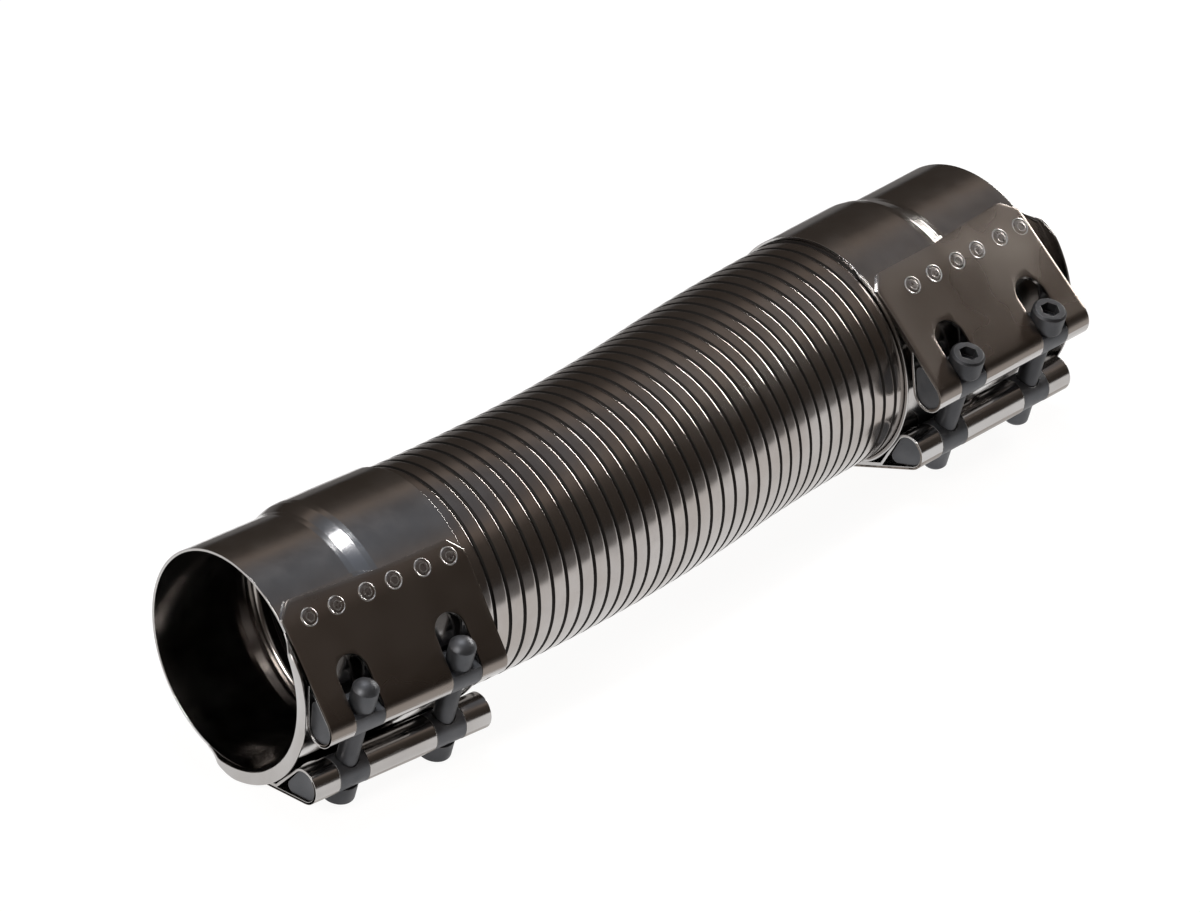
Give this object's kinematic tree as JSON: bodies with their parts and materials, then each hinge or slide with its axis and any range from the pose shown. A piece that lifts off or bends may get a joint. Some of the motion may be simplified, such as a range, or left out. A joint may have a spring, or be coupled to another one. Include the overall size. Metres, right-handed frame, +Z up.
{
  "type": "exhaust flex pipe",
  "caption": "Wound metal flex pipe for an exhaust, with a gentle S bend and a wide bolted band clamp at each end that grips a plain pipe.",
  "frame": {"origin": "centre of the inlet clamp's outer rim, on its axis; the floor that the part lies on is 57 mm below", "axes": "+X along the inlet's axis towards the outlet, +Z up as it lies, both rows of clamp screws towards -Y"},
  "size_m": [0.4934, 0.1745, 0.1119],
  "materials": {
    "hose_strip": "polished stainless strip, lightly smudged",
    "band_sheet": "polished stainless sheet",
    "bridge_sheet": "polished stainless sheet",
    "bar_steel": "satin dark coated steel",
    "screw_steel": "satin black oxide steel",
    "nut_steel": "satin black oxide steel"
  },
  "bodies": {
    "root": {"flex_hose": "hose_strip", "inlet_clamp_band": "band_sheet", "inlet_gap_bridge": "bridge_sheet", "inlet_head_bar": "bar_steel", "inlet_nut_bar": "bar_steel", "inlet_clamp_screw_1": "screw_steel", "inlet_clamp_screw_2": "screw_steel", "inlet_round_nut_1": "nut_steel", "inlet_round_nut_2": "nut_steel", "outlet_clamp_band": "band_sheet", "outlet_gap_bridge": "bridge_sheet", "outlet_head_bar": "bar_steel", "outlet_nut_bar": "bar_steel", "outlet_clamp_screw_1": "screw_steel", "outlet_clamp_screw_2": "screw_steel", "outlet_round_nut_1": "nut_steel", "outlet_round_nut_2": "nut_steel"}
  },
  "joints": []
}
